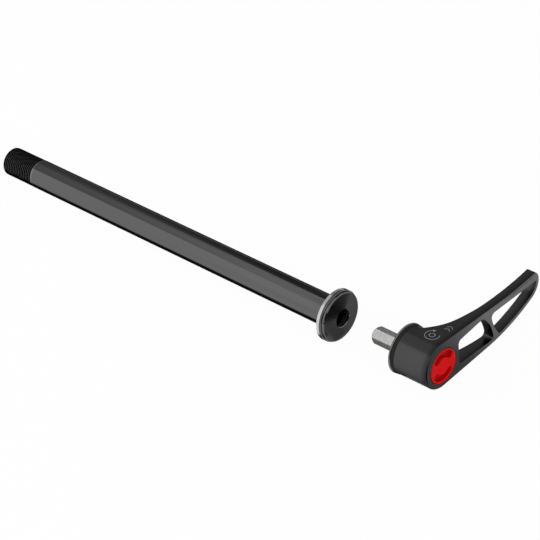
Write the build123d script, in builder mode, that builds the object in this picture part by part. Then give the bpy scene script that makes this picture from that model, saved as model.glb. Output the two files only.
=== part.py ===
from build123d import *
from math import acos, atan2, cos, degrees, hypot, radians, sin
import os

os.makedirs("parts", exist_ok=True)

# Bicycle thru axle, drawn with its plug-in lever pulled out along the axle.
# Millimetres. The axle runs along +Y from its thread to its head, +Z is up, and the origin lies on the
# axle's centre line in the plane of the washer's seat. The lever's arm points to -X.

# Axle
shaft_d = 12.0
thread_d = 11.68
thread_length = 17.3
seat_to_tip = 176.0
tip_chamfer = 1.0
bore_d = 7.2
neck_d = 11.3
neck_lead = 0.4
flange_d = 19.7
flange_edge = 0.8
bevel_w = 0.3
bevel_t = 0.3
cone_rise = 1.0

# Hex socket in the head, with a round mouth that holds the grip ring
socket_af = 6.1
socket_depth = 13.6
pilot_d = 5.6
mouth_d = 7.1
mouth_depth = 2.2
mouth_chamfer = 0.25
groove_d = 9.2
groove_width = 1.1
groove_lead = 0.9
grip_section = 1.0
grip_bore = 7.04

# Washer under the head
washer_d = 20.6
washer_bore = 12.3
washer_t = 2.3
washer_chamfer = 0.2

# Lever, along the axle
pull_out = 29.3
bit_af = 5.95
bit_out = 13.45
bit_tip_d = 5.2
bit_tip_chamfer = 0.8
foot_d = 19.6
foot_t = 0.9
foot_round = 0.4
seal_step_d = 16.4
seal_gap = 0.05
seal_wall = 1.35
seal_t = 1.5
seal_round = 0.3
barrel_d = 18.8
barrel_length = 14.95
arm_t = 4.5

# Lever, across the axle: the arm's lower edge, tip and upper edge, lines and arcs in tangent
low_slope = 9.0
low_straight = 25.8
low_r = 72.0
low_turn = 22.0
tip_r = 7.3
tip_turn = 67.0
top_slope = 3.6
top_straight = 33.6
top_r = 125.0
top_turn = 9.7
tip_wall = 1.5
hex_turn = 51.0

# Lever, arm's back seen from above: (along the arm, ahead of the barrel's foot), swept out towards the tip
sweep_start = (0.4, 0)
sweep_rise = ((4.6, 3.9), (9.4, 6.95), (20.0, 9.65))
sweep_end = (31.0, barrel_length - arm_t)
sweep_heading = (0.6, 0.8)
arm_clear = 60.0
arm_back_round = 0.8
front_round = 0.7
window_edge_round = 0.3

# Windows of the arm, corners and bows across the axle
near_low = (10.2, -4.27)
near_far = (30.2, -3.0)
near_bow = (27.8, 3.4)
near_top = (22.3, 8.9)
near_back = (8.7, 6.0)
far_start = 14.8
far_bow = (29.6, 3.2)
far_top = (27.6, 8.5)
far_tip_turn = 64.0
far_tip_round = 1.0
window_round = 1.7

# Toothed hub that lets the lever be set to any of its angles
tooth_count = 24
tooth_root_d = 11.0
tooth_tip_d = 12.6
tooth_root_w = 1.05
tooth_tip_w = 0.5
tooth_height = 3.0
tooth_gap = 0.12

# Screw, spring and cap inside the barrel
bit_hole_af = 6.0
screw_thread_d = 4.0
screw_hole_d = 4.1
screw_thread_length = 8.0
shoulder_d = 5.8
web_bore_d = 5.9
web_gap = 0.2
web_t = 1.2
spring_length = 6.4
spring_wire_d = 0.7
spring_d = 8.5
spring_turns = 3.5
head_d = 9.2
head_t = 1.6
key_af = 3.0
key_depth = 1.2
chamber_d = 10.4
cap_d = 13.7
cap_gap = 0.05
cap_t = 2.2
cap_proud = 0.3
cap_round = 0.35
head_chamfer = 0.2
skirt_d = 12.6
skirt_wall = 0.7
skirt_length = 1.4
pocket_mid_d = 9.6
pocket_w = 2.7
pocket_depth = 1.1
pocket_span = 98.0

# Stations along the axle
tip_y = -seat_to_tip
thread_y = tip_y + thread_length
flange_y = washer_t
edge_y = flange_y + flange_edge
rim_y = edge_y + bevel_t
face_y = rim_y + cone_rise
foot_y = face_y + pull_out
bit_tip_y = foot_y - bit_out
seal_y = foot_y + foot_t
barrel_y = seal_y + seal_t
hub_y = barrel_y + tooth_height
web_y = hub_y + web_gap
chamber_y = web_y + web_t
head_y = chamber_y + spring_length
front_y = barrel_y + barrel_length
cap_y = front_y + cap_proud
cap_back_y = cap_y - cap_t
skirt_y = cap_back_y - skirt_length
arm_back_y = front_y - arm_t

shaft_r = shaft_d / 2
thread_r = thread_d / 2
flange_r = flange_d / 2
washer_r = washer_d / 2
seal_bore_r = seal_step_d / 2 + seal_gap
seal_r = seal_bore_r + seal_wall
barrel_r = barrel_d / 2
foot_r = foot_d / 2

# The whole lies on its washer, its thread and the arm's lower edge, so the arm dips below the level
lying_slope = (washer_r - thread_r) / (washer_chamfer - tip_y)
lying_drop = washer_r + lying_slope * (arm_back_y - washer_chamfer)
low_centre_up = low_r - barrel_r
arm_dip = low_slope + degrees(
    acos((low_r - lying_drop) / hypot(low_straight, low_centre_up)) - atan2(low_straight, low_centre_up)
)

arm_dir = Vector(-cos(radians(arm_dip)), 0, -sin(radians(arm_dip)))
arm_up = Vector(-sin(radians(arm_dip)), 0, cos(radians(arm_dip)))


def across(y):
    """Plane square to the axle at station y, with x along the lever's arm."""
    return Plane(origin=(0, y, 0), x_dir=arm_dir, z_dir=(0, 1, 0))


def round_edges(part, radius):
    """Circular edges of the given radius, from the thread's end to the lever's front."""
    circles = part.edges().filter_by(GeomType.CIRCLE)
    return circles.filter_by(lambda edge: abs(edge.radius - radius) < 0.01).sort_by(Axis.Y)


def toothed(gap=0.0):
    """Toothed disc of the hub, or of the pocket round it when gap is added on all sides."""
    root_r = tooth_root_d / 2
    tip_reach = tooth_tip_d / 2 + gap
    root_half = tooth_root_w / 2 + gap
    tip_half = tooth_tip_w / 2 + gap
    Circle(root_r + gap)
    with PolarLocations(0, tooth_count):
        Polygon(
            (root_r - tooth_root_w, -root_half),
            (root_r, -root_half),
            (tip_reach, -tip_half),
            (tip_reach, tip_half),
            (root_r, root_half),
            (root_r - tooth_root_w, root_half),
            align=None,
        )


# Axle: one turned piece, hollow from the thread's end, with a flanged head and a broached socket
with BuildPart() as axle:
    with BuildSketch(Plane.XY):
        with BuildLine():
            Polyline(
                (bore_d / 2, tip_y),
                (thread_r - tip_chamfer, tip_y),
                (thread_r, tip_y + tip_chamfer),
                (thread_r, thread_y),
                (shaft_r, thread_y),
                (shaft_r, -neck_lead),
                (neck_d / 2, -neck_lead),
                (neck_d / 2, flange_y),
                (flange_r, flange_y),
                (flange_r, edge_y),
                (flange_r - bevel_w, rim_y),
                (mouth_d / 2, face_y),
                (mouth_d / 2, face_y - mouth_depth),
                (pilot_d / 2, face_y - mouth_depth),
                (pilot_d / 2, face_y - socket_depth),
                (bore_d / 2, face_y - socket_depth - (bore_d - pilot_d) / 2),
                close=True,
            )
        make_face()
    revolve(axis=Axis.Y)
    with BuildSketch(across(face_y - mouth_depth)):
        RegularPolygon(socket_af / 2, 6, major_radius=False, rotation=hex_turn)
    extrude(amount=mouth_depth - socket_depth, mode=Mode.SUBTRACT)
    with BuildSketch(across(face_y - groove_lead)):
        Circle(groove_d / 2)
    extrude(amount=-groove_width, mode=Mode.SUBTRACT)
    chamfer(round_edges(axle, mouth_d / 2)[-1], mouth_chamfer)
axle.part.label = "axle"
export_step(axle.part, "parts/axle.step")

# Washer: ring under the head, a little wider than it, which stays still on the frame while the head turns
with BuildPart() as head_washer:
    with BuildSketch(across(0)):
        Circle(washer_r)
        Circle(washer_bore / 2, mode=Mode.SUBTRACT)
    extrude(amount=washer_t)
    chamfer(round_edges(head_washer, washer_r), washer_chamfer)
head_washer.part.label = "head_washer"
export_step(head_washer.part, "parts/head_washer.step")

# Grip ring: rubber ring in the socket's groove, which holds the hexagon by its corners
grip_y = face_y - groove_lead - groove_width / 2
with BuildPart() as socket_ring:
    with BuildSketch(Plane.XY):
        with Locations(((grip_bore + grip_section) / 2, grip_y)):
            Circle(grip_section / 2)
    revolve(axis=Axis.Y)
socket_ring.part.label = "socket_ring"
export_step(socket_ring.part, "parts/socket_ring.step")

# Hexagon bit: bar with a turned tip, tapped at its inner end for the shoulder screw
bit_corner_r = bit_af / 2 / cos(radians(30))
with BuildPart() as hex_bit:
    with BuildSketch(across(bit_tip_y)):
        RegularPolygon(bit_af / 2, 6, major_radius=False, rotation=hex_turn)
    extrude(amount=hub_y - bit_tip_y)
    with BuildSketch(Plane.XY):
        with BuildLine():
            Polyline(
                (0, bit_tip_y),
                (bit_tip_d / 2, bit_tip_y),
                (bit_corner_r, bit_tip_y + bit_tip_chamfer),
                (bit_corner_r, hub_y),
                (0, hub_y),
                close=True,
            )
        make_face()
    revolve(axis=Axis.Y, mode=Mode.INTERSECT)
    with BuildSketch(across(hub_y)):
        Circle(screw_hole_d / 2)
    extrude(amount=-screw_thread_length - web_t, mode=Mode.SUBTRACT)
hex_bit.part.label = "hex_bit"
export_step(hex_bit.part, "parts/hex_bit.step")

# Drive insert: foot ring of the barrel, a step for the seal and the toothed hub, pressed on to the bit
with BuildPart() as drive_insert:
    with BuildSketch(across(foot_y)):
        Circle(foot_r)
    extrude(amount=foot_t)
    fillet(round_edges(drive_insert, foot_r), foot_round)
    with BuildSketch(across(seal_y)):
        Circle(seal_step_d / 2)
    extrude(amount=seal_t)
    with BuildSketch(across(barrel_y)):
        toothed()
    extrude(amount=tooth_height)
    with BuildSketch(across(foot_y)):
        RegularPolygon(bit_hole_af / 2, 6, major_radius=False, rotation=hex_turn)
    extrude(amount=hub_y - foot_y, mode=Mode.SUBTRACT)
drive_insert.part.label = "drive_insert"
export_step(drive_insert.part, "parts/drive_insert.step")

# Foot seal: rubber ring on the insert's step, which keeps dirt out of the teeth
with BuildPart() as foot_seal:
    with BuildSketch(across(seal_y)):
        Circle(seal_r)
        Circle(seal_bore_r, mode=Mode.SUBTRACT)
    extrude(amount=seal_t)
    fillet(round_edges(foot_seal, seal_r), seal_round)
foot_seal.part.label = "foot_seal"
export_step(foot_seal.part, "parts/foot_seal.step")

# Lever body: forged barrel and arm, with the arm's back swept out of the barrel's foot
low_foot = (barrel_r * sin(radians(low_slope)), -barrel_r * cos(radians(low_slope)))
top_foot = (-barrel_r * sin(radians(top_slope)), barrel_r * cos(radians(top_slope)))
low_along = Vector(cos(radians(low_slope)), sin(radians(low_slope)))
low_across = Vector(-sin(radians(low_slope)), cos(radians(low_slope)))
low_centre = low_along * low_straight + low_across * low_centre_up
wall_heading = Vector(cos(radians(far_start)), sin(radians(far_start)))
wall_start = low_centre + (low_r - tip_wall) * Vector(wall_heading.Y, -wall_heading.X)
arm_side = Plane(origin=arm_up * arm_clear / 2 + Vector(0, barrel_y, 0), x_dir=arm_dir, z_dir=-arm_up)
with BuildPart() as lever_body:
    with BuildSketch(across(front_y)):
        with BuildLine():
            low_line = PolarLine(low_foot, low_straight, low_slope)
            low_arc = JernArc(low_line @ 1, low_line % 1, low_r, low_turn)
            tip_arc = JernArc(low_arc @ 1, low_arc % 1, tip_r, tip_turn)
            top_line = PolarLine(top_foot, top_straight, top_slope)
            top_arc = JernArc(top_line @ 1, top_line % 1, top_r, top_turn)
            TangentArc(tip_arc @ 1, top_arc @ 1, tangent=tip_arc % 1)
            Line(top_foot, low_foot)
        make_face()
    extrude(amount=-barrel_length)
    with BuildSketch(arm_side):
        with BuildLine():
            Spline(sweep_start, *sweep_rise, sweep_end, tangents=(sweep_heading, (1, 0)))
            Polyline(
                sweep_end,
                (arm_clear, sweep_end[1]),
                (arm_clear, -foot_t),
                (sweep_start[0], -foot_t),
                sweep_start,
            )
        make_face()
    extrude(amount=arm_clear, mode=Mode.SUBTRACT)
    back_edges = lever_body.edges().filter_by(lambda edge: web_y < edge.center().Y < front_y - arm_t / 2)
    along_edges = back_edges.filter_by(
        lambda edge: max(abs((edge % 0.5).Y), abs((edge % 0.5).dot(arm_up))) < 0.98
    )
    fillet(along_edges, arm_back_round)
    with BuildSketch(across(barrel_y)):
        Circle(barrel_r)
    extrude(amount=barrel_length)
    with BuildSketch(across(front_y)) as near_window:
        with BuildLine():
            Polyline(near_top, near_back, near_low, near_far)
            ThreePointArc(near_far, near_bow, near_top)
        make_face()
        fillet(near_window.vertices(), window_round)
    with BuildSketch(across(front_y)) as far_window:
        with BuildLine():
            wall_arc = JernArc(wall_start, wall_heading, low_r - tip_wall, low_slope + low_turn - far_start)
            end_arc = JernArc(wall_arc @ 1, wall_arc % 1, tip_r - tip_wall, far_tip_turn)
            Line(end_arc @ 1, far_top)
            ThreePointArc(far_top, far_bow, wall_start)
        make_face()
        fillet(far_window.vertices().sort_by(Axis.X)[:2], window_round)
        fillet(far_window.vertices().sort_by(Axis.X)[-1], far_tip_round)
    extrude(amount=-barrel_length, mode=Mode.SUBTRACT)
    with BuildSketch(across(barrel_y)):
        toothed(tooth_gap)
    extrude(amount=web_y - barrel_y, mode=Mode.SUBTRACT)
    with BuildSketch(Plane.XY):
        with BuildLine():
            Polyline(
                (0, hub_y),
                (web_bore_d / 2, hub_y),
                (web_bore_d / 2, chamber_y),
                (chamber_d / 2, chamber_y),
                (chamber_d / 2, skirt_y - cap_gap),
                (skirt_d / 2 + cap_gap, skirt_y - cap_gap),
                (skirt_d / 2 + cap_gap, cap_back_y),
                (cap_d / 2 + cap_gap, cap_back_y),
                (cap_d / 2 + cap_gap, cap_y),
                (0, cap_y),
                close=True,
            )
        make_face()
    revolve(axis=Axis.Y, mode=Mode.SUBTRACT)
    front_face = lever_body.faces().filter_by(Axis.Y).sort_by(Axis.Y)[-1]
    fillet(front_face.outer_wire().edges(), front_round)
    front_face = lever_body.faces().filter_by(Axis.Y).sort_by(Axis.Y)[-1]
    window_edges = front_face.edges().filter_by(lambda edge: edge.center().dot(arm_dir) > barrel_r / 2)
    fillet(window_edges - front_face.outer_wire().edges(), window_edge_round)
lever_body.part.label = "lever_body"
export_step(lever_body.part, "parts/lever_body.step")

# Shoulder screw: seated on the bit's end, guiding the lever's web and holding the spring
with BuildPart() as shoulder_screw:
    with BuildSketch(Plane.XY):
        with BuildLine():
            Polyline(
                (0, hub_y - screw_thread_length),
                (screw_thread_d / 2, hub_y - screw_thread_length),
                (screw_thread_d / 2, hub_y),
                (shoulder_d / 2, hub_y),
                (shoulder_d / 2, head_y),
                (head_d / 2, head_y),
                (head_d / 2, head_y + head_t),
                (0, head_y + head_t),
                close=True,
            )
        make_face()
    revolve(axis=Axis.Y)
    with BuildSketch(across(head_y + head_t)):
        RegularPolygon(key_af / 2, 6, major_radius=False)
    extrude(amount=-key_depth, mode=Mode.SUBTRACT)
    chamfer(round_edges(shoulder_screw, head_d / 2)[-1], head_chamfer)
shoulder_screw.part.label = "shoulder_screw"
export_step(shoulder_screw.part, "parts/shoulder_screw.step")

# Return spring: round wire between the lever's web and the screw's head
coil_r = (spring_d - spring_wire_d) / 2
coil_rise = spring_length - spring_wire_d
with BuildPart() as return_spring:
    with BuildLine() as coil:
        Helix(
            pitch=coil_rise / spring_turns,
            height=coil_rise,
            radius=coil_r,
            center=(0, chamber_y + spring_wire_d / 2, 0),
            direction=(0, 1, 0),
        )
    with BuildSketch(Plane(origin=coil.line @ 0, z_dir=coil.line % 0)):
        Circle(spring_wire_d / 2)
    sweep(is_frenet=True)
return_spring.part.label = "return_spring"
export_step(return_spring.part, "parts/return_spring.step")

# End cap: snapped into the barrel's front, with two curved pockets for a pin key
with BuildPart() as end_cap:
    with BuildSketch(across(cap_back_y)):
        Circle(cap_d / 2)
    extrude(amount=cap_t)
    fillet(round_edges(end_cap, cap_d / 2)[-1], cap_round)
    with BuildSketch(across(skirt_y)):
        Circle(skirt_d / 2)
        Circle(skirt_d / 2 - skirt_wall, mode=Mode.SUBTRACT)
    extrude(amount=skirt_length)
    with BuildLine(Plane.XY, mode=Mode.PRIVATE) as pocket_line:
        CenterArc((0, 0), pocket_mid_d / 2, 90 - pocket_span / 2, pocket_span)
    with BuildSketch(across(cap_y)):
        with PolarLocations(0, 2):
            SlotArc(pocket_line.edge(), pocket_w)
    extrude(amount=-pocket_depth, mode=Mode.SUBTRACT)
end_cap.part.label = "end_cap"
export_step(end_cap.part, "parts/end_cap.step")
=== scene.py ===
# %% [markdown]
# A bicycle's thru axle is a hollow shaft that clamps a wheel into the frame. This one is turned with a
# lever that plugs into its head. The solids come packed as a fixed frame, in metres, with the axle
# along Y and Z up. This lesson dresses them: first the shared effects, then one finish for each piece,
# then the shapes that are too fine for the solids, and at the end the studio and the camera.

import math

import bmesh
import bpy
from mathutils import Matrix, Vector


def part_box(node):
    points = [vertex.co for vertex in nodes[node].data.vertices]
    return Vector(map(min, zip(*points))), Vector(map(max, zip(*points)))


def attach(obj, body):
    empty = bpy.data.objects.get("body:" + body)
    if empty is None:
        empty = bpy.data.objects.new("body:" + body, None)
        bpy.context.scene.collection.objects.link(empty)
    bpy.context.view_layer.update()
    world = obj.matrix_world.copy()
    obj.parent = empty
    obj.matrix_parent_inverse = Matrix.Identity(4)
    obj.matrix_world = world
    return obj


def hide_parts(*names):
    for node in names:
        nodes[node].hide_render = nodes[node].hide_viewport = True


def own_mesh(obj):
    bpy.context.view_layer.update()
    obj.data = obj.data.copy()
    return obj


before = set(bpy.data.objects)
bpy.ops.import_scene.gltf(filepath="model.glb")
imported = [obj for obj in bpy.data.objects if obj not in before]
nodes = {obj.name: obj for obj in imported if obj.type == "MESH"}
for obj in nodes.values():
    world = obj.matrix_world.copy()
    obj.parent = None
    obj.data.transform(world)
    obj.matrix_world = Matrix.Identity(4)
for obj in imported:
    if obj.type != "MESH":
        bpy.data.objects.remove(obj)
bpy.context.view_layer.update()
print("solids:", sorted(nodes))

# %% [markdown]
# A material is a tree of nodes whose sockets are joined by links. Writing out each link is long, so a few
# helpers come first. They add a node, join sockets, and feed a socket with another one or with a plain
# value, and sums and colour mixes build on that. A Mix node also has sockets for numbers and vectors, so its
# sockets for colours are found by their place in the list.

# %% Helpers for nodes
color_a = 6
color_b = 7
color_out = 2


def add_node(tree, kind, **settings):
    node = tree.nodes.new(kind)
    for key, value in settings.items():
        setattr(node, key, value)
    return node


def join(tree, *pairs):
    for source, target in pairs:
        tree.links.new(source, target)


def feed(tree, socket, value):
    """Joins a socket to another one, or sets it to a plain value."""
    if isinstance(value, bpy.types.NodeSocket):
        join(tree, (value, socket))
    else:
        socket.default_value = value


def calculate(tree, operation, *values):
    """What a Math node makes of sockets or plain numbers."""
    node = add_node(tree, "ShaderNodeMath", operation=operation)
    for socket, value in zip(node.inputs, values):
        feed(tree, socket, value)
    return node.outputs[0]


def mix_colors(tree, share, first, second):
    """A colour between two others, which are sockets or plain colours."""
    node = add_node(tree, "ShaderNodeMix", data_type="RGBA")
    feed(tree, node.inputs["Factor"], share)
    feed(tree, node.inputs[color_a], first)
    feed(tree, node.inputs[color_b], second)
    return node.outputs[color_out]


# %% [markdown]
# A node group is a small shader that several materials share. Each group here has named inputs and puts
# out only values that change over the surface. Two of the groups are textures that do the same three things:
# they blend a dark tone into a light one, swing the roughness round its mean, and give a height for bump.
# So those sockets and links are written once.

# %% Helpers for node groups
def grey(value, warm=0.0):
    return (value * (1 + warm), value, value * (1 - warm), 1)


def empty_group(name, inputs, outputs):
    group = bpy.data.node_groups.new(name, "ShaderNodeTree")
    for label, kind, value in inputs:
        socket = group.interface.new_socket(label, in_out="INPUT", socket_type=kind)
        socket.default_value = value
    for label, kind in outputs:
        group.interface.new_socket(label, in_out="OUTPUT", socket_type=kind)
    return group, group.nodes.new("NodeGroupInput"), group.nodes.new("NodeGroupOutput")


texture_inputs = [("Roughness", "NodeSocketFloat", 0.3), ("Roughness spread", "NodeSocketFloat", 0.1),
                  ("Dark", "NodeSocketColor", grey(0.02)), ("Light", "NodeSocketColor", grey(0.05))]
texture_outputs = [("Color", "NodeSocketColor"), ("Roughness", "NodeSocketFloat"),
                   ("Height", "NodeSocketFloat")]
texture_mean = 0.5


def put_out(group, group_in, group_out, texture, height):
    """Sends a texture, from 0 to 1, to a group's colour and roughness, and a height to its height."""
    swing = calculate(group, "MULTIPLY", calculate(group, "SUBTRACT", texture, texture_mean),
                      group_in.outputs["Roughness spread"])
    rough = calculate(group, "ADD", swing, group_in.outputs["Roughness"])
    color = mix_colors(group, texture, group_in.outputs["Dark"], group_in.outputs["Light"])
    join(
        group,
        (color, group_out.inputs["Color"]),
        (rough, group_out.inputs["Roughness"]),
        (height, group_out.inputs["Height"]),
    )
    print("group:", group.name, "with", len(group.nodes), "nodes")


# %% [markdown]
# Blasted and anodised aluminium has a very fine, even grain. It breaks up the highlight, and it makes the
# black slightly lighter on its peaks. A fine noise texture in object space gives both: its height goes to
# a Bump node, and together with a broad, cloudy noise it shifts the roughness and the colour a little.

# %% Group: blasted grain
fine_share = 0.6
grain, grain_in, grain_out = empty_group(
    "blasted grain", [("Size per metre", "NodeSocketFloat", 6000.0), *texture_inputs], texture_outputs)
where = add_node(grain, "ShaderNodeTexCoord").outputs["Object"]
fine = add_node(grain, "ShaderNodeTexNoise")
fine.inputs["Detail"].default_value = 3.0
cloud = add_node(grain, "ShaderNodeTexNoise")
cloud.inputs["Scale"].default_value = 160.0
cloud.inputs["Detail"].default_value = 4.0
join(
    grain,
    (where, fine.inputs["Vector"]),
    (where, cloud.inputs["Vector"]),
    (grain_in.outputs["Size per metre"], fine.inputs["Scale"]),
)
grainy = calculate(grain, "ADD", calculate(grain, "MULTIPLY", fine.outputs["Fac"], fine_share),
                   calculate(grain, "MULTIPLY", cloud.outputs["Fac"], 1 - fine_share))
put_out(grain, grain_in, grain_out, grainy, fine.outputs["Fac"])

# %% [markdown]
# Turned and drawn metal carries lines. On a shaft they run along it, on a washer's rim they run round it.
# A noise texture whose place is multiplied by a vector is stretched into such lines, and the vector is the
# group's input, so that the same group serves both directions.

# %% Group: tool lines
lines, lines_in, lines_out = empty_group(
    "tool lines", [("Stretch", "NodeSocketVector", (400.0, 8.0, 400.0)), *texture_inputs], texture_outputs)
where = add_node(lines, "ShaderNodeTexCoord").outputs["Object"]
stretch = add_node(lines, "ShaderNodeVectorMath", operation="MULTIPLY")
streak = add_node(lines, "ShaderNodeTexNoise")
streak.inputs["Scale"].default_value = 1.0
streak.inputs["Detail"].default_value = 5.0
join(
    lines,
    (where, stretch.inputs[0]),
    (lines_in.outputs["Stretch"], stretch.inputs[1]),
    (stretch.outputs["Vector"], streak.inputs["Vector"]),
)
put_out(lines, lines_in, lines_out, streak.outputs["Fac"], streak.outputs["Fac"])

# %% [markdown]
# Some finishes change from one place to another: the washer gets a painted shade line and a dark grey front
# edge, and the cap's pockets get painted shade. A group measures how far a point lies along an axis, as the
# dot product of its place with the axis, and turns one colour into another between two such distances.

# %% Group: graded tone
along_axle = (0, 1, 0)
graded, graded_in, graded_out = empty_group(
    "graded tone",
    [("Axis", "NodeSocketVector", along_axle), ("Start", "NodeSocketFloat", 0.0),
     ("End", "NodeSocketFloat", 1.0), ("Color", "NodeSocketColor", grey(1)),
     ("Tone", "NodeSocketColor", grey(0))],
    [("Color", "NodeSocketColor")],
)
where = add_node(graded, "ShaderNodeTexCoord").outputs["Object"]
along = add_node(graded, "ShaderNodeVectorMath", operation="DOT_PRODUCT")
share = add_node(graded, "ShaderNodeMapRange")
toned = mix_colors(graded, share.outputs["Result"], graded_in.outputs["Color"], graded_in.outputs["Tone"])
join(
    graded,
    (where, along.inputs[0]),
    (graded_in.outputs["Axis"], along.inputs[1]),
    (along.outputs["Value"], share.inputs["Value"]),
    (graded_in.outputs["Start"], share.inputs["From Min"]),
    (graded_in.outputs["End"], share.inputs["From Max"]),
    (toned, graded_out.inputs["Color"]),
)
print("group:", graded.name, "with", len(graded.nodes), "nodes")

# %% Helper: grade a colour
def grade(socket, axis, start, end, tone):
    """Turns what a colour socket shows into a tone along an axis. Gives back the tone's own socket."""
    tree = socket.id_data
    step = add_node(tree, "ShaderNodeGroup", node_tree=graded)
    for label, value in (("Axis", axis), ("Start", start), ("End", end), ("Tone", tone)):
        step.inputs[label].default_value = value
    shown = socket.links[0].from_socket if socket.is_linked else socket.default_value
    feed(tree, step.inputs["Color"], shown)
    join(tree, (step.outputs["Color"], socket))
    return step.inputs["Tone"]


# %% [markdown]
# Every finish is a Principled shader fed by the grain or by the lines. The helper places the group, sets its
# values, and sends its height through a Bump node. What is the same all over the surface, such as the
# metalness or the tint of the edges, is set on the shader itself.

# %% Helpers for finishes
bump_distance = 0.00002


def principled(material):
    return material.node_tree.nodes["Principled BSDF"]


def base_color(material):
    return principled(material).inputs["Base Color"]


def finish_from(group, name, scale, rough, spread, dark, light, bump, metal=1.0, edge=grey(1)):
    """A material from one of the textures. The scale is the texture's size or its stretch."""
    material = bpy.data.materials.new(name)
    material.use_nodes = True
    tree = material.node_tree
    shader = principled(material)
    shader.inputs["Metallic"].default_value = metal
    shader.inputs["Specular Tint"].default_value = edge
    source = add_node(tree, "ShaderNodeGroup", node_tree=group)
    for socket, value in zip(source.inputs, (scale, rough, spread, dark, light)):
        socket.default_value = value
    raised = add_node(tree, "ShaderNodeBump")
    raised.inputs["Strength"].default_value = bump
    raised.inputs["Distance"].default_value = bump_distance
    join(
        tree,
        (source.outputs["Color"], shader.inputs["Base Color"]),
        (source.outputs["Roughness"], shader.inputs["Roughness"]),
        (source.outputs["Height"], raised.inputs["Height"]),
        (raised.outputs["Normal"], shader.inputs["Normal"]),
    )
    return material


def dress(name, material):
    mesh = nodes[name].data
    mesh.materials.clear()
    mesh.materials.append(material)
    print("dressed", name, "as", material.name)


# %% [markdown]
# The shaft is drawn tube, black anodised to a satin that still shows a soft mirror of the studio. The
# lever is blasted before it is anodised, so it is matter. The insert at its foot is plated a dark grey.
# All are metal under a dark skin, so they are metallic with a dark colour, and a grey edge tint keeps
# the rims from turning white as those of bare metal would.

# %% Black finishes
shaft_black = finish_from(
    lines, "shaft satin black", scale=(500, 9, 500), rough=0.11, spread=0.05,
    dark=grey(0.108), light=grey(0.155), bump=0.004, edge=grey(0.45))
head_black = finish_from(
    grain, "head satin black", scale=3000, rough=0.2, spread=0.04,
    dark=grey(0.064), light=grey(0.08), bump=0.02, edge=grey(0.45))
# The socket's faces carry painted shade: they are near black, as the inside of the hole falls in shade.
socket_shade_black = finish_from(
    grain, "socket painted shade black", scale=3000, rough=0.4, spread=0.05,
    dark=grey(0.012), light=grey(0.02), bump=0.02, edge=grey(0.1))
lever_black = finish_from(
    grain, "lever blasted black", scale=5200, rough=0.26, spread=0.08,
    dark=grey(0.065), light=grey(0.09), bump=0.12, edge=grey(0.4))
insert_dark = finish_from(
    grain, "insert dark nickel", scale=7000, rough=0.2, spread=0.05,
    dark=grey(0.16), light=grey(0.2), bump=0.05, edge=grey(0.5))
dress("lever_body", lever_black)
dress("drive_insert", insert_dark)

# %% [markdown]
# The lever's front carries painted light and shade: the barrel and arm get painted shade towards the front
# edge, and the front face has a tone of its own, painted lighter along the slim bars of the arm as a sheen.
# Three grades
# do it: two along the axle, and one along the arm that changes the front's own tone.

# %% Painted shade and sheen on the lever's front
lever_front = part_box("lever_body")[1].y
edge_shade_start = lever_front - 0.003
edge_shade_end = lever_front - 0.0008
front_start = lever_front - 0.0005
front_end = lever_front - 0.0002
along_arm = (-0.75, 0, 0.66)
sheen_start = 0.0047
sheen_end = 0.0222
# Painted shade towards the front edge, then the front's own tone, painted lighter along the arm as a sheen.
grade(base_color(lever_black), along_axle, edge_shade_start, edge_shade_end, grey(0.04))
front_sheen_tone = grade(base_color(lever_black), along_axle, front_start, front_end, grey(0.055))
grade(front_sheen_tone, along_arm, sheen_start, sheen_end, grey(0.165))
print("lever's front lies at", round(lever_front, 5))

# %% [markdown]
# The washer is plated steel with lathe lines round its rim, and the hexagon is drawn bar whose flats look
# slightly mottled. Its dark edge tint deepens the flats that are seen at a slant. The screw and the spring
# are inside, and get plain steel of their own.

# %% Steel finishes
washer_steel = finish_from(
    lines, "washer plated steel", scale=(60, 5000, 60), rough=0.24, spread=0.1,
    dark=grey(0.5, warm=0.03), light=grey(0.72, warm=0.03), bump=0.05)
bit_steel = finish_from(
    grain, "hexagon satin steel", scale=1400, rough=0.27, spread=0.2,
    dark=grey(0.12, warm=0.02), light=grey(0.92, warm=0.02), bump=0.1, edge=grey(0.1))
screw_steel = finish_from(
    lines, "screw turned steel", scale=(80, 4000, 80), rough=0.35, spread=0.2,
    dark=grey(0.35), light=grey(0.55), bump=0.15)
spring_steel = finish_from(
    grain, "spring wire", scale=3000, rough=0.3, spread=0.15,
    dark=grey(0.4), light=grey(0.6), bump=0.05)
dress("head_washer", washer_steel)
dress("hex_bit", bit_steel)
dress("shoulder_screw", screw_steel)
dress("return_spring", spring_steel)

# %% [markdown]
# The washer's front edge is painted dark grey to read as the head's rim, and a line of painted shade, like
# the shadow in a gap, parts it from the bright rim. Both are grades along the axle that are almost as sharp
# as a step.

# %% Painted shade line and dark edge on the washer
washer_low, washer_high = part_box("head_washer")
shade_line_y = washer_high.y - 0.00085
shade_line_blur = 0.00003
edge_y = washer_high.y - 0.0006
edge_blur = 0.00004
# A thin line of painted shade, near black, and in front of it the washer painted dark grey.
grade(base_color(washer_steel), along_axle, shade_line_y - shade_line_blur, shade_line_y + shade_line_blur, grey(0.012))
grade(base_color(washer_steel), along_axle, edge_y - edge_blur, edge_y + edge_blur, grey(0.13))
print("washer is black from", round(shade_line_y, 5), "to", round(washer_high.y, 5))
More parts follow.
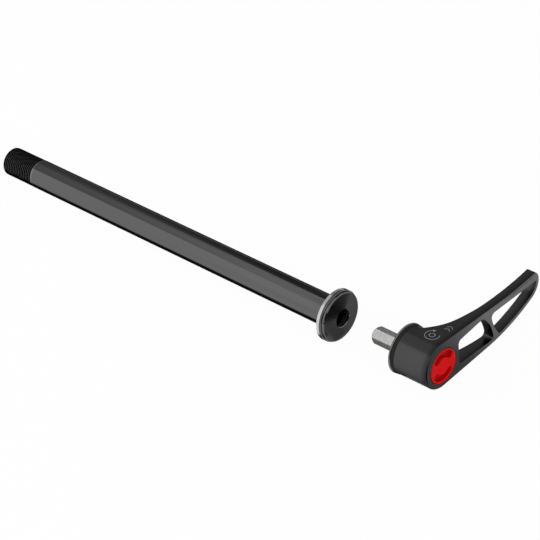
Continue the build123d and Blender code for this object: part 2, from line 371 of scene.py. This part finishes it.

# %% [markdown]
# The end cap is moulded in bright red plastic with a soft gloss. The grip ring and the foot seal are matt
# black rubber. Neither is metal. A low specular level keeps the red and the black deep where they mirror
# the white room, and the two pockets that take a pin wrench get painted shade, a deeper red.

# %% Plastic and rubber
cap_red = finish_from(
    grain, "cap gloss red", scale=2500, rough=0.28, spread=0.08,
    dark=(0.66, 0.004, 0.005, 1), light=(0.76, 0.008, 0.009, 1), bump=0.02, metal=0.0)
principled(cap_red).inputs["Specular IOR Level"].default_value = 0.015
cap_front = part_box("end_cap")[1].y
pocket_shade_start = cap_front - 0.0003
pocket_shade_end = cap_front - 0.0009
# Painted shade: the red turns deeper down into the two pockets.
grade(base_color(cap_red), along_axle, pocket_shade_start, pocket_shade_end, (0.42, 0.003, 0.003, 1))
ring_rubber = finish_from(
    grain, "grip ring rubber", scale=4000, rough=0.75, spread=0.1,
    dark=grey(0.012), light=grey(0.025), bump=0.2, metal=0.0)
principled(ring_rubber).inputs["Specular IOR Level"].default_value = 0.08
dress("end_cap", cap_red)
dress("socket_ring", ring_rubber)
dress("foot_seal", ring_rubber)

# %% [markdown]
# A cut thread gets painted shade, near black, in its grooves, and a painted highlight in grey on its crests.
# A crest climbs by one pitch in each turn, so the finish works out the turn from x and z with an arctangent,
# takes it from the distance along the axle in pitches, and keeps the fraction. Where that is close to a
# whole number there is a crest. The shaft's edge at the thread gets a painted highlight, so it is a little
# lighter too.

# %% Thread finish
pitch = 0.001
# Painted shade in the grooves and a painted highlight on the crests.
groove_shade = grey(0.003)
crest_highlight = grey(0.13)
highlight_start = 0.8
highlight_end = 0.9
thread_black = finish_from(
    lines, "thread black", scale=(300, 300, 300), rough=0.22, spread=0.05,
    dark=groove_shade, light=groove_shade, bump=0.004, edge=grey(0.1))
tree = thread_black.node_tree
where = add_node(tree, "ShaderNodeTexCoord").outputs["Object"]
parts = add_node(tree, "ShaderNodeSeparateXYZ")
angle = calculate(tree, "ARCTAN2", parts.outputs["X"], parts.outputs["Z"])
turns = calculate(tree, "DIVIDE", angle, 2 * math.pi)
pitches = calculate(tree, "DIVIDE", parts.outputs["Y"], pitch)
phase = calculate(tree, "FRACT", calculate(tree, "SUBTRACT", pitches, turns))
from_groove = calculate(tree, "SUBTRACT", calculate(tree, "MULTIPLY", phase, 2.0), 1.0)
crest_glint = add_node(tree, "ShaderNodeMapRange")
crest_glint.inputs["From Min"].default_value = highlight_start
crest_glint.inputs["From Max"].default_value = highlight_end
join(
    tree,
    (where, parts.inputs["Vector"]),
    (calculate(tree, "ABSOLUTE", from_groove), crest_glint.inputs["Value"]),
    (mix_colors(tree, crest_glint.outputs["Result"], groove_shade, crest_highlight), base_color(thread_black)),
)
print("thread finish has", len(tree.nodes), "nodes")

# %% Painted highlight on the shaft's edge at the thread
thread_length = 0.0173
tip_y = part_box("axle")[0].y
thread_y = tip_y + thread_length
shoulder_highlight_start = thread_y + 0.0008
shoulder_highlight_end = thread_y + 0.0003
# Painted highlight: the shaft turns lighter just before the thread.
grade(base_color(shaft_black), along_axle, shoulder_highlight_start, shoulder_highlight_end, grey(0.21))
print("thread runs from", round(tip_y, 5), "to", round(thread_y, 5))

# %% [markdown]
# The axle's far end has a fine right-handed thread, one turn each millimetre. The solid has a plain
# cylinder there. Modelling the thread as bump would leave a smooth outline, so the axle is copied, the
# plain cylinder is taken off the copy, and a grid whose radius follows the thread is bridged to the
# two open rings. Marking edges by angle keeps the flanks crisp and the shaft smooth. The shaft's shoulder
# is marked sharp too, or its slope would bend the mirror images along the whole shaft.

# %% Shape of the thread
thread_r = 0.00584
crest_r = 0.00594
thread_depth = 0.00056
crest_flat = 0.17
flank_share = 0.6
run_out = 0.0011
tip_chamfer = 0.001
tip_ring_r = thread_r - tip_chamfer
tip_slope = 1.1


def ring_radius(point):
    return math.hypot(point.x, point.z)


def clamp(value):
    return min(max(value, 0.0), 1.0)


def thread_radius(turn, y):
    """Radius of the thread at an angle, in turns, and a station: flat crests, sloped flanks, flat roots."""
    phase = (y / pitch - turn) % 1.0
    from_crest = 1 - abs(2 * phase - 1)
    cut = clamp((from_crest - crest_flat) / flank_share)
    fade = clamp((thread_y - y) / run_out)
    return min(crest_r - thread_depth * cut * fade, tip_ring_r + (y - tip_y) * tip_slope)


print("thread is", thread_depth, "deep on a radius of", crest_r)

# %% Take off the plain cylinder
weld = 1e-6
hair = 2e-5
tip_zone = 1e-4
work = bmesh.new()
work.from_mesh(nodes["axle"].data)
bmesh.ops.remove_doubles(work, verts=work.verts, dist=weld)
plain = [face for face in work.faces
         if all(ring_radius(v.co) > tip_ring_r - hair and v.co.y < thread_y + weld for v in face.verts)]
bmesh.ops.delete(work, geom=plain, context="FACES")
open_edges = [edge for edge in work.edges if edge.is_boundary]
tip_edges = [edge for edge in open_edges if edge.verts[0].co.y < tip_y + tip_zone]
shaft_edges = [edge for edge in open_edges if edge not in tip_edges]
print("took off", len(plain), "plain faces; open rings of", len(tip_edges), "and", len(shaft_edges), "edges")

# %% Thread grid
columns = 112
rows = 260
grid_start = tip_y + 3e-5
grid_end = thread_y - 1.3e-4
grid = []
for row in range(rows + 1):
    y = grid_start + (grid_end - grid_start) * row / rows
    ring = []
    for column in range(columns):
        turn = column / columns
        radius = thread_radius(turn, y)
        angle = 2 * math.pi * turn
        ring.append(work.verts.new((radius * math.sin(angle), y, radius * math.cos(angle))))
    grid.append(ring)
for low, high in zip(grid, grid[1:]):
    for column in range(columns):
        after = (column + 1) % columns
        work.faces.new((low[column], low[after], high[after], high[column]))
print("thread grid of", rows, "by", columns, "faces")

# %% Bridges and edges
crisp = math.radians(20)


def ring_edges(ring):
    members = set(ring)
    return [edge for edge in work.edges if edge.is_boundary and all(v in members for v in edge.verts)]


bmesh.ops.bridge_loops(work, edges=tip_edges + ring_edges(grid[0]))
bmesh.ops.bridge_loops(work, edges=shaft_edges + ring_edges(grid[-1]))
bmesh.ops.recalc_face_normals(work, faces=work.faces)
for edge in work.edges:
    on_shoulder = all(abs(v.co.y - thread_y) < weld for v in edge.verts)
    edge.smooth = edge.is_manifold and edge.calc_face_angle(0) < crisp and not on_shoulder
for face in work.faces:
    face.smooth = True
axle_mesh = bpy.data.meshes.new("threaded_axle")
work.to_mesh(axle_mesh)
print("axle mesh:", len(axle_mesh.polygons), "faces, open edges:", sum(e.is_boundary for e in work.edges))
work.free()

# %% The axle with its thread
socket_r = 0.0036
flange_y = washer_high.y - 1e-5
thread_end = thread_y - 1.5e-4
facing_front = 0.9


def add_object(name, data):
    made = bpy.data.objects.new(name, data)
    bpy.context.collection.objects.link(made)
    return made


axle_finishes = [shaft_black, head_black, socket_shade_black, thread_black]
for finish in axle_finishes:
    axle_mesh.materials.append(finish)
for face in axle_mesh.polygons:
    radius = ring_radius(face.center)
    finish = shaft_black
    if face.center.y > flange_y and radius < socket_r:
        finish = socket_shade_black
    elif face.center.y > flange_y and face.normal.y > facing_front:
        finish = head_black
    elif face.center.y < thread_end and radius > tip_ring_r - hair:
        finish = thread_black
    face.material_index = axle_finishes.index(finish)
threaded_axle = add_object("threaded_axle", axle_mesh)
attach(threaded_axle, "axle")
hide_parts("axle")
print("axle has", len(axle_mesh.materials), "finishes")

# %% [markdown]
# A fine sign is laser marked on the lever's top, and says that the lever turns and is pushed in: a turning
# arrow round a hexagon, and two chevrons. The top is a flat that runs tangent into the round barrel, so a
# sign drawn flat, as (along the arm, along the axle), rolls on to it without stretching. Each stroke is a
# thin closed ribbon that stands a hair above the metal.

# %% The lever's top as a sheet
facing_up = 0.9
square_to_axle = 1e-3
lever_faces = nodes["lever_body"].data.polygons
top_faces = [face for face in lever_faces
             if abs(face.normal.y) < square_to_axle and face.normal.z > facing_up]
flat_top = max(top_faces, key=lambda face: face.area)
top_up = flat_top.normal.copy()
top_along = Vector((-top_up.z, 0, top_up.x))
barrel_r = flat_top.center.dot(top_up)
print("flat top leans", round(math.degrees(math.atan2(-top_up.x, top_up.z)), 2), "degrees")


def on_top(along, y, lift):
    """A point of the sheet in the solids' frame: flat along the arm, rolled round the barrel before it."""
    turn = min(along, 0.0) / barrel_r
    out = top_up * math.cos(turn) + top_along * math.sin(turn)
    point = out * (barrel_r + lift) + top_along * max(along, 0.0)
    return Vector((point.x, y, point.z))


# %% Helpers for strokes
mark_rise = 0.000012
mark_sink = 0.00005
marks = bmesh.new()


def stroke(path, widths):
    """A closed ribbon along a flat path, with a width at each of its points."""
    rings = []
    for index, (point, width) in enumerate(zip(path, widths)):
        before = path[max(index - 1, 0)]
        after = path[min(index + 1, len(path) - 1)]
        heading = (after - before).normalized()
        aside = Vector((-heading.y, heading.x)) * width / 2
        rings.append([marks.verts.new(on_top(edge.x, edge.y, lift))
                      for edge, lift in ((point - aside, -mark_sink), (point + aside, -mark_sink),
                                         (point + aside, mark_rise), (point - aside, mark_rise))])
    for low, high in zip(rings, rings[1:]):
        for side in range(len(low)):
            after = (side + 1) % len(low)
            marks.faces.new((low[side], low[after], high[after], high[side]))
    marks.faces.new(rings[0][::-1])
    marks.faces.new(rings[-1])


def around(centre, radius, start, sweep, steps):
    angles = [math.radians(start + sweep * step / steps) for step in range(steps + 1)]
    return [centre + radius * Vector((math.cos(angle), math.sin(angle))) for angle in angles]


# %% Strokes of the sign
stroke_w = 0.00026
sign_centre = Vector((0.0020, 0.0446))
arc_r = 0.0027
arc_start = 60
arc_sweep = 270
arc_steps = 40
arrow_w = 0.0013
arrow_length = 0.0011
arrow_point_w = 0.00002
hexagon_r = 0.0012
hexagon_turn = 60
chevron_starts = (0.0075, 0.0092)
chevron_y = 0.0468
chevron_depth = 0.0011
chevron_reach = 0.0013
arc = around(sign_centre, arc_r, arc_start, arc_sweep, arc_steps)
stroke(arc, [stroke_w] * len(arc))
arc_end = math.radians(arc_start + arc_sweep)
arrow_tip = arc[-1] + arrow_length * Vector((-math.sin(arc_end), math.cos(arc_end)))
stroke([arc[-1], arrow_tip], [arrow_w, arrow_point_w])
for corner in range(360 // hexagon_turn):
    stroke(around(sign_centre, hexagon_r, hexagon_turn * corner, hexagon_turn, 1), [stroke_w] * 2)
for chevron_x in chevron_starts:
    tip = Vector((chevron_x + chevron_depth, chevron_y))
    for reach in (-chevron_reach, chevron_reach):
        stroke([Vector((chevron_x, tip.y + reach)), tip], [stroke_w] * 2)
print("sign:", len(marks.faces), "faces")

# %% The sign on the lever
mark_mesh = bpy.data.meshes.new("lever_sign")
bmesh.ops.recalc_face_normals(marks, faces=marks.faces)
marks.to_mesh(mark_mesh)
marks.free()
laser_grey = finish_from(
    grain, "laser mark", scale=4000, rough=0.7, spread=0.1,
    dark=grey(0.2), light=grey(0.3), bump=0.1, metal=0.0)
mark_mesh.materials.append(laser_grey)
lever_sign = add_object("lever_sign", mark_mesh)
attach(lever_sign, "lever")
print("sign is marked in", laser_grey.name)

# %% [markdown]
# Inside the barrel a coil spring presses on the screw's head, and so keeps the lever down on its teeth. When
# the lever is lifted, the coil gets shorter. Here a copy of the solid stands in for it, riding on the
# insert.

# %% Return spring
spring_coil = add_object("spring_coil", nodes["return_spring"].data.copy())
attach(spring_coil, "insert")
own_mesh(spring_coil)
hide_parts("return_spring")

# %% [markdown]
# The studio is a pale floor under a white sky. The axle lies on its washer and its thread, so the floor
# slopes by about a degree and a half to meet both. Light Path tells which ray asks: the camera and mirror
# images see the floor and the sky as white, while a dimmer sky lights the object. The floor keeps a small
# share of a real pale surface for the shadows.

# %% Helper: white to the camera
def show_white(tree, plain, white, output, camera_share, mirror_share):
    """Mixes a shader with a white one, by a share for the camera's rays and one for mirror images."""
    rays = add_node(tree, "ShaderNodeLightPath")
    seen = add_node(tree, "ShaderNodeMixShader")
    mirrored = calculate(tree, "ADD", rays.outputs["Is Glossy Ray"], rays.outputs["Is Transmission Ray"])
    share = calculate(tree, "ADD", calculate(tree, "MULTIPLY", rays.outputs["Is Camera Ray"], camera_share),
                      calculate(tree, "MULTIPLY", mirrored, mirror_share))
    join(
        tree,
        (share, seen.inputs["Fac"]),
        (plain, seen.inputs[1]),
        (white, seen.inputs[2]),
        (seen.outputs["Shader"], output),
    )


# %% Floor
half = 3.0
seat_y = washer_low.y + 0.0002
floor_z = washer_low.z - 0.00005
lying_slope = math.atan((washer_high.z - thread_r) / (seat_y - tip_y))
floor_mesh = bpy.data.meshes.new("studio_floor")
floor_mesh.from_pydata([(-half, -half, 0), (half, -half, 0), (half, half, 0), (-half, half, 0)], [],
                       [(0, 1, 2, 3)])
floor = add_object("studio_floor", floor_mesh)
floor.matrix_world = Matrix.Translation((0, seat_y, floor_z)) @ Matrix.Rotation(-lying_slope, 4, "X")
pale = bpy.data.materials.new("pale floor")
pale.use_nodes = True
shader = principled(pale)
shader.inputs["Roughness"].default_value = 0.9
shader.inputs["Specular IOR Level"].default_value = 0.0
shader.inputs["Base Color"].default_value = grey(0.82)
white = add_node(pale.node_tree, "ShaderNodeEmission")
show_white(pale.node_tree, shader.outputs["BSDF"], white.outputs["Emission"],
           pale.node_tree.nodes["Material Output"].inputs["Surface"], camera_share=0.97, mirror_share=0.9)
floor_mesh.materials.append(pale)
print("floor slopes", round(math.degrees(lying_slope), 2), "degrees")

# %% World
sky_strength = 0.45
world = bpy.data.worlds.new("studio")
bpy.context.scene.world = world
world.use_nodes = True
sky = world.node_tree.nodes["Background"]
sky.inputs["Color"].default_value = grey(1)
sky.inputs["Strength"].default_value = sky_strength
white = add_node(world.node_tree, "ShaderNodeBackground")
white.inputs["Color"].default_value = grey(1)
white.inputs["Strength"].default_value = 1.0
show_white(world.node_tree, sky.outputs["Background"], white.outputs["Background"],
           world.node_tree.nodes["World Output"].inputs["Surface"], camera_share=1.0, mirror_share=1.0)
print("sky lights the object at", sky_strength)

# %% [markdown]
# The camera stands where the photograph was taken from, high in front of the head with a long lens, and
# is rolled a little. Its three axes are written in the solids' own frame, so the view needs no fitting.

# %% Camera
view_right = Vector((-0.65605389, 0.73930268, -0.15173939))
view_up = Vector((-0.56609221, -0.34907256, 0.74678508))
view_back = Vector((0.49913216, 0.57582975, 0.64752389))
camera_place = Vector((0.41759782, 0.45133906, 0.54919194))
camera_data = bpy.data.cameras.new("photo_camera")
camera_data.sensor_width = 36.0
camera_data.lens = 149.19
camera = add_object("photo_camera", camera_data)
camera.matrix_world = Matrix.Translation(camera_place) @ Matrix(
    (view_right, view_up, view_back)).transposed().to_4x4()
bpy.context.scene.camera = camera
print("camera stands", round(camera_place.length, 3), "m from the washer's seat")

# %% [markdown]
# Two wide soft lights shine on the part, one from the camera's left and one from in front of the lever.
# Mirror images don't show them, or they would leave hard white squares in the satin black.

# %% Lights
def soft_light(name, place, target, width, height, power):
    data = bpy.data.lights.new(name, "AREA")
    data.shape = "RECTANGLE"
    data.size = width
    data.size_y = height
    data.energy = power
    lamp = add_object(name, data)
    lamp.location = place
    lamp.visible_glossy = False
    lamp.rotation_mode = "QUATERNION"
    lamp.rotation_quaternion = (target - place).to_track_quat("-Z", "Y")
    radiance = power / (math.pi * width * height)
    print(name, "radiance", round(radiance, 2))


middle = Vector((-0.01, -0.06, 0.0))
side_place = middle - 0.5 * view_right + 0.18 * view_up + 0.1 * view_back
front_place = middle + Vector((0.35, 0.7, 0.5))
soft_light("side softbox", side_place, middle, width=0.7, height=0.5, power=2.4)
soft_light("front softbox", front_place, middle, width=0.6, height=0.6, power=2.8)

# %% [markdown]
# Black metal is seen by what it mirrors, and a white room alone would make it a flat grey. Photographers put
# up cloths, called flags. These are out of the camera's sight and out of the light, so only mirror images
# show them. A cloth overhead and one that leans behind the axle make the bands along the shaft's upper side,
# and each is followed by a plainer cloth that the lever mirrors. Two dark cloths stand in front and at the
# side. Small patches lie on the floor, and all but one are painted shadows under the lever, the head, the
# hexagon and the shaft, where mirror images would see the near-white floor: they draw the dark quarter of
# the head's face and the shade on its rim and the hexagon's lower flat, and the longest draws the thin dark
# line under the shaft.
# The one in front darkens the lever's lower edges. A cloth shows its grey by a faint emission, so that the
# mirror images stay free of grain.

# %% Cloths
across_axle = (1, 0, 0)


def cloth(name, axis, start, start_grey, end, end_grey):
    """A cloth graded along one axis, from one grey at the start to another at the end."""
    material = bpy.data.materials.new(name)
    material.use_nodes = True
    shader = principled(material)
    shader.inputs["Base Color"].default_value = grey(0)
    shader.inputs["Specular IOR Level"].default_value = 0.0
    shader.inputs["Emission Color"].default_value = grey(start_grey)
    shader.inputs["Emission Strength"].default_value = 1.0
    grade(shader.inputs["Emission Color"], axis, start, end, grey(end_grey))
    return material


roof_cloth = cloth("roof cloth", along_axle, start=-1.02, start_grey=0.42, end=-0.72, end_grey=0.8)
back_cloth = cloth("back cloth", along_axle, start=-1.0, start_grey=0.3, end=-0.67, end_grey=0.09)
arm_cloth = cloth("arm cloth", along_axle, start=-0.61, start_grey=0.42, end=0.2, end_grey=0.36)
rim_shadow_cloth = cloth("rim shadow cloth", across_axle, start=-0.006, start_grey=0.95, end=-0.0005, end_grey=0.5)
face_shadow_cloth = cloth("face shadow cloth", across_axle, start=-0.032, start_grey=0.35, end=-0.015, end_grey=0.04)
bit_shadow_cloth = cloth("bit shadow cloth", along_axle, start=0.01, start_grey=0.26, end=0.036, end_grey=0.22)
dark_cloth = cloth("dark cloth", across_axle, start=-0.5, start_grey=0.03, end=0.5, end_grey=0.05)

# %% Places for the cloths
roof_z = 1.0
roof_back = -0.6
roof_front = 0.445
wall_foot = -1.0
hem_z = -0.03
patch_lift = 0.0003


def standing(start, end, top):
    """Corners of an upright cloth between two points of the plan."""
    return [(*start, hem_z), (*end, hem_z), (*end, top), (*start, top)]


def overhead(start, end):
    """Corners of the cloth above the axle, between two stations along it."""
    return [(roof_back, start, roof_z), (roof_front, start, roof_z),
            (roof_front, end, roof_z), (roof_back, end, roof_z)]


def leaning(start, end):
    """Corners of the cloth behind the axle, which leans back from the roof's edge to the floor."""
    return [(roof_back, start, roof_z), (roof_back, end, roof_z),
            (wall_foot, end, hem_z), (wall_foot, start, hem_z)]


def lying(low, high):
    """Corners of a patch between two points of the plan, a hair above the sloping floor."""
    plan = [(low[0], low[1]), (high[0], low[1]), (high[0], high[1]), (low[0], high[1])]
    return [(x, y, washer_low.z - y * math.tan(lying_slope) + patch_lift) for x, y in plan]


# %% Flags and painted shadows
def flag(name, finish, corners):
    """A cloth with four corners, seen by mirror images alone."""
    mesh = bpy.data.meshes.new(name)
    mesh.from_pydata(corners, [], [(0, 1, 2, 3)])
    mesh.materials.append(finish)
    panel = add_object(name, mesh)
    panel.visible_camera = False
    panel.visible_diffuse = False
    panel.visible_shadow = False
    print(name, "is", finish.name)


far_y = -1.6
roof_split = -0.645
roof_near = -0.2
wall_split = -0.61
wall_near = 0.2
upright_top = 0.35
flag("roof_flag", roof_cloth, overhead(far_y, roof_split))
flag("barrel_flag", arm_cloth, overhead(roof_split, roof_near))
flag("back_flag", back_cloth, leaning(far_y, wall_split))
flag("arm_flag", arm_cloth, leaning(wall_split, wall_near))
flag("front_flag", dark_cloth, standing((-0.9, 0.95), (0.8, 0.75), upright_top))
flag("side_flag", dark_cloth, standing((0.8, 0.75), (0.95, 0.25), upright_top))
# Painted shadows on the floor, which only mirror images show: under the lever, before the head and under the
# hexagon.
flag("face_shadow_patch", face_shadow_cloth, lying((-0.035, 0.0225), (0.002, 0.05)))
flag("rim_shadow_patch", rim_shadow_cloth, lying((-0.006, 0.0045), (0.004, 0.0225)))
flag("bit_shadow_patch", bit_shadow_cloth, lying((0.0045, 0.01), (0.0105, 0.036)))
flag("lever_flag", dark_cloth, lying((0.006, 0.056), (0.15, 0.2)))
# Painted shadow under the shaft, seen only in mirror images as the shaft's thin dark lower edge.
shaft_shadow_corners = lying((-0.1, -0.25), (0.0134, 0.0006))
narrow_x = 0.0084
shaft_shadow_corners[1] = (narrow_x, *shaft_shadow_corners[1][1:])
flag("shaft_shadow_patch", dark_cloth, shaft_shadow_corners)

# %% [markdown]
# The Standard view transform shows a colour as it is written.

# %% Finish
bpy.context.scene.view_settings.view_transform = "Standard"
